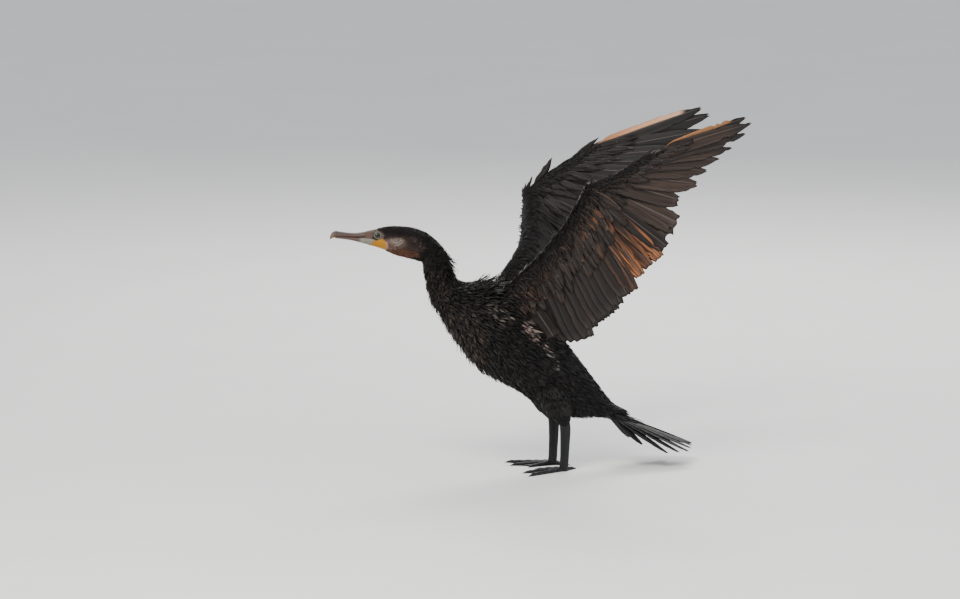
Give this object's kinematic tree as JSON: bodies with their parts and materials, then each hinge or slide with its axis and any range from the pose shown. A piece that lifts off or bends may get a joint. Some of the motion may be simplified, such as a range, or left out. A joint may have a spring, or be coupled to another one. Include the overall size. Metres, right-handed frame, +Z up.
{
  "type": "cormorant",
  "caption": "Life-size cormorant standing with both wings raised to dry, hooked bill, fanned stiff tail and webbed feet.",
  "frame": {"origin": "middle of the whole bird's box in x and y, at the level of the soles", "axes": "+Z up; the bird faces -X, its left side is -Y"},
  "size_m": [0.749, 0.426, 0.6471],
  "materials": {
    "plumage": "damp ruffled body feathers, black-brown with paler flecks",
    "flight_feather": "stiff dark brown flight feathers with a soft sheen",
    "bill": "grey-brown horn, satin, dark along the top",
    "eye": "green iris and dark pupil, wet gloss",
    "foot_skin": "black scaly skin with a dull sheen"
  },
  "bodies": {
    "root": {"head": "plumage", "bill_upper": "bill", "bill_lower": "bill", "eye_left": "eye", "eye_right": "eye", "neck": "plumage", "torso": "plumage", "tail": "flight_feather", "thigh_left": "plumage", "leg_left": "foot_skin", "foot_left": "foot_skin", "thigh_right": "plumage", "leg_right": "foot_skin", "foot_right": "foot_skin", "wing_left_arm": "flight_feather", "wing_left_hand": "flight_feather", "wing_right_arm": "flight_feather", "wing_right_hand": "flight_feather"}
  },
  "joints": []
}
